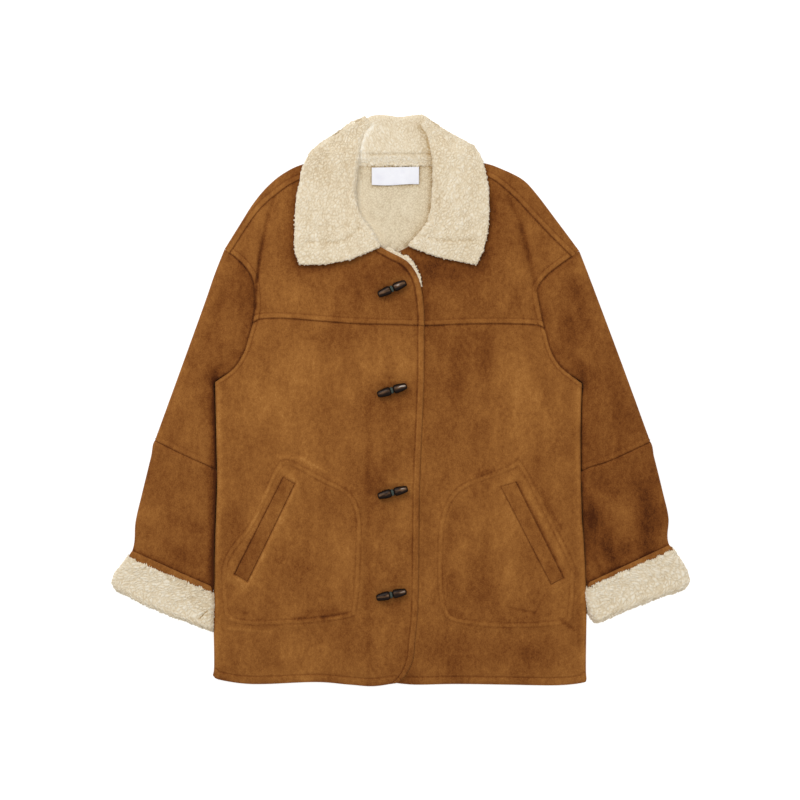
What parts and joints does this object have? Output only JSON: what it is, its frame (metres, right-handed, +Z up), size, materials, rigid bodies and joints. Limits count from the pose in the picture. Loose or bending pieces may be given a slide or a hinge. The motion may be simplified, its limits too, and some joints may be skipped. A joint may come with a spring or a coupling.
{
  "type": "shearling coat",
  "caption": "Hip-length suede coat lined with shearling, laid flat and closed with wooden toggles, with a wide turned-down collar, slanted welt pockets and turned-back shearling cuffs.",
  "frame": {"origin": "on the surface that the coat lies on, under the middle of its plan outline", "axes": "+Z up from the surface, +Y from the hem towards the collar, +X to the viewer's right looking down on the front, so towards the side of the front that lies underneath"},
  "size_m": [0.8802, 0.868, 0.0284],
  "materials": {
    "suede": "brushed brown suede",
    "fleece": "curly cream shearling pile",
    "dark_wood": "dark polished wood",
    "toggle_thread": "waxed grey-green thread",
    "label_satin": "bare woven satin"
  },
  "bodies": {
    "root": {"back": "suede", "front_left": "suede", "front_right": "suede", "yoke_left": "suede", "yoke_right": "suede", "sleeve_upper_left": "suede", "sleeve_upper_right": "suede", "sleeve_lower_left": "suede", "sleeve_lower_right": "suede", "cuff_left": "fleece", "cuff_right": "fleece", "cuff_hem_left": "suede", "cuff_hem_right": "suede", "collar_leaf_left": "fleece", "collar_leaf_right": "fleece", "collar_band": "fleece", "front_pile": "fleece", "pocket_bag_left": "suede", "pocket_bag_right": "suede", "pocket_welt_left": "suede", "pocket_welt_right": "suede", "toggle_1": "dark_wood", "toggle_2": "dark_wood", "toggle_3": "dark_wood", "toggle_4": "dark_wood", "toggle_thread_1": "toggle_thread", "toggle_thread_2": "toggle_thread", "toggle_thread_3": "toggle_thread", "toggle_thread_4": "toggle_thread", "label": "label_satin"}
  },
  "joints": []
}
